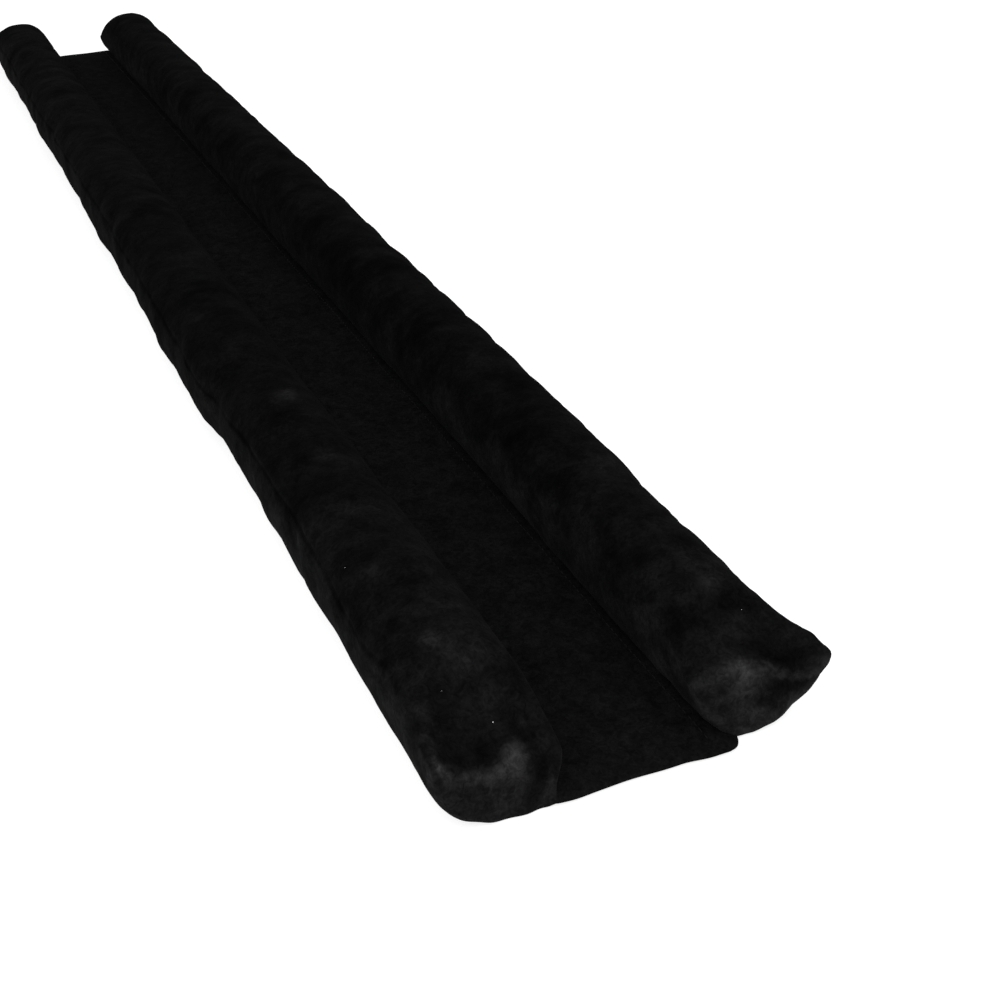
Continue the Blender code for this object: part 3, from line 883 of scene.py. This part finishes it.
def seam_relief(points, off_seam, seam_height, phase):
    """The hollow line of the outer seam, the puckers beside it and the gathers at the corners."""
    along = points[:, 0]
    to_end = LENGTH / 2 - np.abs(along)
    fade = ease_all((to_end - SEAM_FULL_FROM) / SEAM_FADE_LENGTH)
    pressed = SEAM_SHARE_AT_END + (1 - SEAM_SHARE_AT_END) * fade
    relief = -SEAM_DEPTH * pressed * np.exp(-((off_seam / SEAM_HALF_WIDTH) ** 2))
    beside = np.exp(-((off_seam / PUCKER_REACH) ** 2)) * ease_all(off_seam / PUCKER_START)
    wander = np.zeros(len(points))
    for wave in PUCKER_WANDERS:
        wander += wave.size * np.sin(along * wave.per_metre + phase * wave.phases)
    over_seam = points[:, 2] > seam_height
    share = np.where(over_seam, 1.0, PUCKER_SHARE_BELOW)
    ripple = np.sin((along + wander) * 2 * math.pi / PUCKER_PITCH + share * PUCKER_SHIFT)
    swing = PUCKER_SWING.size * np.sin(along * PUCKER_SWING.per_metre + phase * PUCKER_SWING.phases)
    relief += PUCKER_HEIGHT * beside * ripple * share * (PUCKER_MEAN + swing)
    gathered = CORNER_GATHER * np.exp(-((to_end / CORNER_REACH) ** 2)) * beside * over_seam
    relief += gathered * np.sin((along + wander * CORNER_WANDER_SHARE) * 2 * math.pi / CORNER_PITCH)
    return relief


def sew(obj, rings, phase):
    """Puts the relief of the seams and of the crushed pile in the mesh, and tells how far each point is
    from the outer seam."""
    points = points_of(obj)
    normals = normals_of(obj)
    off_seam, seam_height = off_the_seam(points, seam_line(rings))
    free = ease_all((points[:, 2] - FREE_FROM_HEIGHT) / FREE_OVER_HEIGHT)
    relief = seam_relief(points, off_seam, seam_height, phase)
    relief += CRUSH_HEIGHT * fine_noise(points, CRUSH_SIZE, phase) * free
    points += normals * (relief * free)[:, None]
    set_points(obj, keep_in_place(points))
    return off_seam


def pile_with_painted_light(points, along, rise, phase):
    """Pile tone before the marks: painted light that makes the flanks lighter than the top and changes along
    the length, random patches and streaks of tone, and painted shade at the foot of the near edge.
    """
    alongs = [tone.along for tone in PAINTED_LIGHT_ALONG]
    on_top = np.interp(along, alongs, [tone.top for tone in PAINTED_LIGHT_ALONG])
    on_flank = np.interp(along, alongs, [tone.flank for tone in PAINTED_LIGHT_ALONG])
    # Painted light: the flanks lighter than the top, both lighter or darker along the length.
    pile_and_light = TOP_PAINTED_LIGHT * on_top + FLANK_PAINTED_LIGHT * on_flank * ease_all((FLANK_FROM_RISE - rise) / FLANK_RISE_SPAN)
    patches = fine_noise(points, PATCH_SIZE, phase + PATCH_SEED)
    streaks = fine_noise(points * np.array(STREAK_SQUEEZE), STREAK_SIZE, phase + STREAK_SEED)
    pile_and_light *= np.maximum(1.0 + PATCH_STRENGTH * patches + STREAK_STRENGTH * streaks, LEAST_SHARE)
    # Painted shade at the foot of the near edge, low down near the floor.
    at_foot = np.exp(-((along / FOOT_SHADE_REACH) ** 2)) * (points[:, 2] < FOOT_SHADE_HEIGHT)
    return pile_and_light * (1.0 - FOOT_SHADE * at_foot), streaks


def mark_pile_and_light(pile_and_light, places, marks, streaks):
    """Makes the pile lighter or darker round each mark: brushed pile, painted highlights and painted shade.
    """
    for mark in marks:
        away = np.linalg.norm(places - np.array([mark.along, mark.reach, mark.height]), axis=1)
        touch = np.exp(-((away / mark.size) ** 2))
        if mark.strength > 0:
            pile_and_light += mark.strength * touch * (MARK_MEAN + MARK_STREAKS * streaks)
        else:
            pile_and_light *= 1.0 + mark.strength * touch


def store_pile_and_light(obj, sleeve, off_seam):
    """Stores the pile tone with painted light and shade at each point, with a line of painted shade in the
    seam.
    """
    points = points_of(obj)
    places = points.copy()
    places[:, 0] += LENGTH / 2
    places[:, 1] = np.abs(places[:, 1])
    pile_and_light, streaks = pile_with_painted_light(points, places[:, 0], normals_of(obj)[:, 2], sleeve.phase)
    drifts = [fine_noise(points, MARK_DRIFT_SIZE, seed) for seed in MARK_DRIFT_SEEDS]
    places += MARK_DRIFT * np.stack(drifts, axis=1)
    mark_pile_and_light(pile_and_light, places, sleeve.brushed, streaks)
    # Painted shade along the outer seam, fading towards the ends.
    from_end = ease_all((LENGTH / 2 - np.abs(points[:, 0]) - SEAM_SHADE_FROM) / SEAM_FADE_LENGTH)
    pile_and_light -= SEAM_SHADE * from_end * np.exp(-((off_seam / SEAM_SHADE_WIDTH) ** 2))
    layer = obj.data.attributes.new("pile_and_light", "FLOAT", "POINT")
    layer.data.foreach_set("value", np.clip(pile_and_light / LIGHTEST, 0.0, 1.0).astype(np.float32))


def add_node(tree, kind, **settings):
    made = tree.nodes.new(kind)
    for name, value in settings.items():
        setattr(made, name, value)
    return made


def add_texture(tree, place, texture):
    made = add_node(tree, "ShaderNodeTexNoise")
    made.inputs["Scale"].default_value = texture.scale
    made.inputs["Detail"].default_value = texture.detail
    made.inputs["Roughness"].default_value = texture.roughness
    made.inputs["Distortion"].default_value = texture.distortion
    tree.links.new(place, made.inputs["Vector"])
    return made.outputs["Fac"]


def add_spread(tree, value, spread):
    """Maps a value from start and end to low and high."""
    made = add_node(tree, "ShaderNodeMapRange")
    for name, limit in zip(("From Min", "From Max", "To Min", "To Max"), spread):
        made.inputs[name].default_value = limit
    tree.links.new(value, made.inputs["Value"])
    return made.outputs["Result"]


def add_math(tree, operation, *values):
    """A sum or product of two values, each of which is a number or a node's output."""
    made = add_node(tree, "ShaderNodeMath", operation=operation)
    for socket, value in zip(made.inputs, values):
        if isinstance(value, float):
            socket.default_value = value
        else:
            tree.links.new(value, socket)
    return made.outputs["Value"]


def velvet(name, brushed):
    """Black velvet: no gloss, a faint sheen at glancing angles, and a base colour from the stored pile tone
    with painted light and shade.
    """
    material = bpy.data.materials.new(name)
    material.use_nodes = True
    tree = material.node_tree
    shader = tree.nodes["Principled BSDF"]
    shader.inputs["Roughness"].default_value = PILE_ROUGHNESS
    shader.inputs["Metallic"].default_value = 0.0
    shader.inputs["Specular IOR Level"].default_value = 0.0
    shader.inputs["Sheen Weight"].default_value = PILE_SHEEN
    shader.inputs["Sheen Roughness"].default_value = PILE_SHEEN_ROUGHNESS
    shader.inputs["Sheen Tint"].default_value = WHITE
    place = add_node(tree, "ShaderNodeTexCoord").outputs["Object"]
    mottle = add_texture(tree, place, MOTTLE)
    fleck = add_texture(tree, place, FLECK)
    grain = add_texture(tree, place, GRAIN)
    share = WEB_LYING
    # On the sleeves the share is the stored pile tone with painted light and shade.
    if brushed:
        share = add_node(tree, "ShaderNodeAttribute", attribute_name="pile_and_light").outputs["Fac"]
    for texture, spread in ((mottle, MOTTLE_SPREAD), (fleck, FLECK_SPREAD), (grain, GRAIN_SPREAD)):
        share = add_math(tree, "MULTIPLY", share, add_spread(tree, texture, spread))
    tone = add_node(tree, "ShaderNodeMix", data_type="RGBA")
    tone.inputs["A"].default_value = PILE_DARK
    tone.inputs["B"].default_value = PILE_LIGHT
    tree.links.new(share, tone.inputs["Factor"])
    tree.links.new(tone.outputs["Result"], shader.inputs["Base Color"])
    bump = add_node(tree, "ShaderNodeBump")
    bump.inputs["Strength"].default_value = BUMP_STRENGTH
    bump.inputs["Distance"].default_value = BUMP_DISTANCE
    heights = add_math(tree, "ADD", add_math(tree, "MULTIPLY", mottle, BUMP_MOTTLE), grain)
    tree.links.new(heights, bump.inputs["Height"])
    tree.links.new(bump.outputs["Normal"], shader.inputs["Normal"])
    return material


def plain(name, colour, roughness):
    material = bpy.data.materials.new(name)
    material.use_nodes = True
    shader = material.node_tree.nodes["Principled BSDF"]
    shader.inputs["Base Color"].default_value = colour
    shader.inputs["Roughness"].default_value = roughness
    shader.inputs["Specular IOR Level"].default_value = PLAIN_GLOSS
    return material


def make_sleeve(sleeve, material):
    rings = sleeve_rings(sleeve)
    points = [point for ring in rings for point in ring]
    obj = mesh_object(sleeve.node + "_velvet", points, tube_faces(len(rings), len(rings[0]), sleeve.side))
    loosen(obj, rings)
    smooth = obj.modifiers.new("smooth", "SUBSURF")
    smooth.levels = 1
    smooth.render_levels = 1
    apply_modifiers(obj)
    store_pile_and_light(obj, sleeve, sew(obj, rings, sleeve.phase))
    obj.data.materials.clear()
    obj.data.materials.append(material)
    obj.data.shade_smooth()
    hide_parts(sleeve.node)
    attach(obj, "root")
    return obj


def web_half(along, side):
    """Half width of the web at a place along it, with its corners rounded and the near right one wider."""
    near = along < LENGTH / 2
    to_edge = along if near else LENGTH - along
    if near and side < 0:
        spread = NEAR_RIGHT_SPREAD * (1 - ease((along - NEAR_RIGHT_FULL_TO) / NEAR_RIGHT_FADE))
        return WEB_HALF + spread - NEAR_RIGHT_CUT * (1 - arc(to_edge / NEAR_RIGHT_CUT))
    return WEB_HALF - WEB_CORNER_CUT * (1 - arc(to_edge / WEB_CORNER_REACH))


def web_height(along, across):
    """How far the web's cloth stands off the floor: nowhere in its middle, and unevenly at the seams."""
    wave = math.sin(along * WEB_WAVE_PER_METRE + WEB_WAVE_START)
    wave += WEB_QUICK_SHARE * math.sin(along * WEB_QUICK_PER_METRE + across * WEB_QUICK_SLANT)
    edge = ease((abs(across) / WEB_HALF - WEB_FLAT_SHARE) / (1 - WEB_FLAT_SHARE))
    return WEB_WAVE_HEIGHT * edge * (wave + WEB_WAVE_LIFT)


def web_point(along, level, share):
    """A point of the web's upper layer (level 1) or lower layer (level -1), at a share of its half width."""
    to_edge = min(along, LENGTH - along)
    half = web_half(along, share)
    across = half * share
    round_side = max(WEB_LEAST_ROUND, arc((1 - abs(share)) * half / WEB_ROUND))
    thick = WEB_THICKNESS / 2 * max(WEB_LEAST_ROLL, arc(to_edge / WEB_ROLL) * round_side)
    height = WEB_THICKNESS / 2 + web_height(along, across) + level * thick
    if level > 0:
        place = Vector((along * CRINKLES_PER_METRE, across * CRINKLES_PER_METRE, level * CRINKLE_LAYER))
        height += CRINKLE_HEIGHT * noise.noise(place)
    wobble = WOBBLE * math.sin(across * WOBBLE_PER_METRE + WOBBLE_START) * (1 - ease(to_edge / WOBBLE_REACH))
    pulled = PULL_RIGHT * ease((-across - PULL_FROM) / PULL_OVER)
    pulled += PULL_LEFT * ease((across - PULL_FROM) / PULL_OVER)
    pulled *= 1 - ease(along / PULL_REACH)
    return along - LENGTH / 2 + wobble - pulled, across, max(height, 0.0)


def web_faces(stations):
    """Faces of the upper and lower layer, of the two long edges and of the two ends."""
    faces = []
    layer = WEB_COLUMNS + 1
    ring = 2 * layer
    for station in range(stations - 1):
        low, high = station * ring, (station + 1) * ring
        for step in range(WEB_COLUMNS):
            top = (low + step, high + step, high + step + 1, low + step + 1)
            faces += [top, tuple(point + layer for point in reversed(top))]
        faces.append((low + layer, high + layer, high, low))
        outer = WEB_COLUMNS
        faces.append((low + outer, high + outer, high + layer + outer, low + layer + outer))
    last = (stations - 1) * ring
    for step in range(WEB_COLUMNS):
        end = (step, step + 1, step + layer + 1, step + layer)
        faces.append(end)
        faces.append(tuple(last + end[corner] for corner in (0, 3, 2, 1)))
    return faces


def make_web(material):
    """The web as one closed sheet: two layers of cloth with a rolled edge at either end."""
    body = np.arange(WEB_BODY_FROM, LENGTH - WEB_BODY_FROM + WEB_STEP / 2, WEB_STEP)
    stations = [*WEB_END_DEPTHS, *body, *(LENGTH - depth for depth in reversed(WEB_END_DEPTHS))]
    shares = [2 * step / WEB_COLUMNS - 1 for step in range(WEB_COLUMNS + 1)]
    points = [web_point(along, level, share) for along in stations for level in (1, -1) for share in shares]
    obj = mesh_object("web_velvet", points, web_faces(len(stations)))
    obj.data.materials.append(material)
    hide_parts("web")
    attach(obj, "root")
    return obj


def add_thread(points, faces, start, end, width, up):
    """A short raised thread, thickest in its middle."""
    start, end, up = Vector(start), Vector(end), Vector(up)
    side = (end - start).cross(up).normalized()
    first = len(points)
    for share, size in THREAD_SHAPE:
        middle = start.lerp(end, share) + up * (math.sin(share * math.pi) * width * THREAD_ARCH)
        for turn in range(THREAD_SIDES):
            angle = turn * 2 * math.pi / THREAD_SIDES
            offset = side * math.cos(angle) + up * math.sin(angle)
            points.append(tuple(middle + offset * width / 2 * size))
    rings = len(THREAD_SHAPE)
    for ring in range(rings - 1):
        low, high = first + ring * THREAD_SIDES, first + (ring + 1) * THREAD_SIDES
        for turn in range(THREAD_SIDES):
            following = (turn + 1) % THREAD_SIDES
            faces.append((low + turn, low + following, high + following, high + turn))
    last = first + (rings - 1) * THREAD_SIDES
    faces.append(tuple(first + turn for turn in reversed(range(THREAD_SIDES))))
    faces.append(tuple(last + turn for turn in range(THREAD_SIDES)))


def make_stitches(material):
    """The two rows of stitches that hold the web to the sleeves, along its upper face."""
    points, faces = [], []
    for side in (1, -1):
        across = side * STITCH_REACH
        along = STITCH_FROM
        while along < LENGTH - STITCH_SHORT_OF_END:
            ends = []
            for place in (along, along + STITCH_LENGTH):
                height = WEB_THICKNESS + web_height(place, across) + STITCH_RISE
                ends.append((place - LENGTH / 2, across, height))
            add_thread(points, faces, ends[0], ends[1], STITCH_WIDTH, (0, 0, 1))
            along += STITCH_PITCH
    obj = mesh_object("web_stitches", points, faces)
    obj.data.materials.append(material)
    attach(obj, "root")
    return obj


def make_lint(sleeves, material):
    """A few flecks of lint caught in the pile."""
    points, faces = [], []
    for sleeve, obj in sleeves:
        coords = points_of(obj)
        for lint in sleeve.lint:
            target = np.array([lint.along - LENGTH / 2, sleeve.side * lint.reach, lint.height])
            nearest = int(np.argmin(np.linalg.norm(coords - target, axis=1)))
            up = Vector(obj.data.vertices[nearest].normal)
            side = up.cross(Vector((1, 0, 0))).normalized()
            start = Vector(coords[nearest]) + up * LINT_RISE - side * (LINT_LENGTH / 2 * lint.size)
            end = start + side * (LINT_LENGTH * lint.size)
            add_thread(points, faces, start, end, LINT_WIDTH * lint.size, up)
    obj = mesh_object("lint", points, faces)
    obj.data.materials.append(material)
    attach(obj, "root")
    return obj


def make_floor():
    """A plain pale floor. It glows a little, except for the face below the part."""
    corners = [(-1, -1), (1, -1), (1, 1), (-1, 1)]
    points = [(x * FLOOR_HALF, y * FLOOR_HALF, 0) for x, y in corners]
    points += [(x * DULL_HALF_LENGTH, y * DULL_HALF_WIDTH, 0) for x, y in corners]
    around = [(side, (side + 1) % 4, 4 + (side + 1) % 4, 4 + side) for side in range(4)]
    floor = mesh_object("floor", points, around + [(4, 5, 6, 7)])
    floor.location.z = -FLOOR_DROP
    glowing = plain("floor_white", FLOOR_GREY, FLOOR_ROUGHNESS)
    shader = glowing.node_tree.nodes["Principled BSDF"]
    shader.inputs["Emission Color"].default_value = WHITE
    shader.inputs["Emission Strength"].default_value = FLOOR_GLOW
    floor.data.materials.append(glowing)
    floor.data.materials.append(plain("floor_below", FLOOR_GREY, FLOOR_ROUGHNESS))
    floor.data.polygons[len(around)].material_index = 1


def make_world():
    world = bpy.data.worlds.new("studio")
    bpy.context.scene.world = world
    world.use_nodes = True
    background = world.node_tree.nodes["Background"]
    background.inputs["Color"].default_value = WHITE
    background.inputs["Strength"].default_value = WORLD_STRENGTH


def make_light(lamp):
    """A soft square studio light, aimed at the near half of the part."""
    data = bpy.data.lights.new(lamp.name, "AREA")
    data.energy = lamp.watts
    data.size = lamp.size
    light = bpy.data.objects.new(lamp.name, data)
    light.location = lamp.place
    aim = Vector(LAMPS_AIM) - Vector(lamp.place)
    light.rotation_euler = aim.to_track_quat("-Z", "Y").to_euler()
    bpy.context.scene.collection.objects.link(light)


def make_camera():
    """A camera beyond the near end, a little to the left and looking down along the part."""
    data = bpy.data.cameras.new("camera")
    data.sensor_width = SENSOR_WIDTH
    data.lens = LENS
    data.clip_start = CLIP_START
    camera = bpy.data.objects.new("camera", data)
    bpy.context.scene.collection.objects.link(camera)
    right = Vector(CAMERA_RIGHT)
    up = Vector(CAMERA_UP)
    turn = Matrix((right, up, right.cross(up))).transposed()
    camera.matrix_world = Matrix.Translation(CAMERA_PLACE) @ turn.to_4x4()
    bpy.context.scene.camera = camera


def main():
    pile = velvet("black_velvet", brushed=True)
    flat_pile = velvet("black_velvet_web", brushed=False)
    thread = plain("black_thread", THREAD_BLACK, THREAD_ROUGHNESS)
    lint_white = plain("lint_white", LINT_WHITE, THREAD_ROUGHNESS)
    made = [(sleeve, make_sleeve(sleeve, pile)) for sleeve in SLEEVES]
    make_web(flat_pile)
    make_stitches(thread)
    make_lint(made, lint_white)
    make_floor()
    make_world()
    for lamp in LAMPS:
        make_light(lamp)
    make_camera()
    bpy.context.scene.view_settings.view_transform = "Standard"


main()
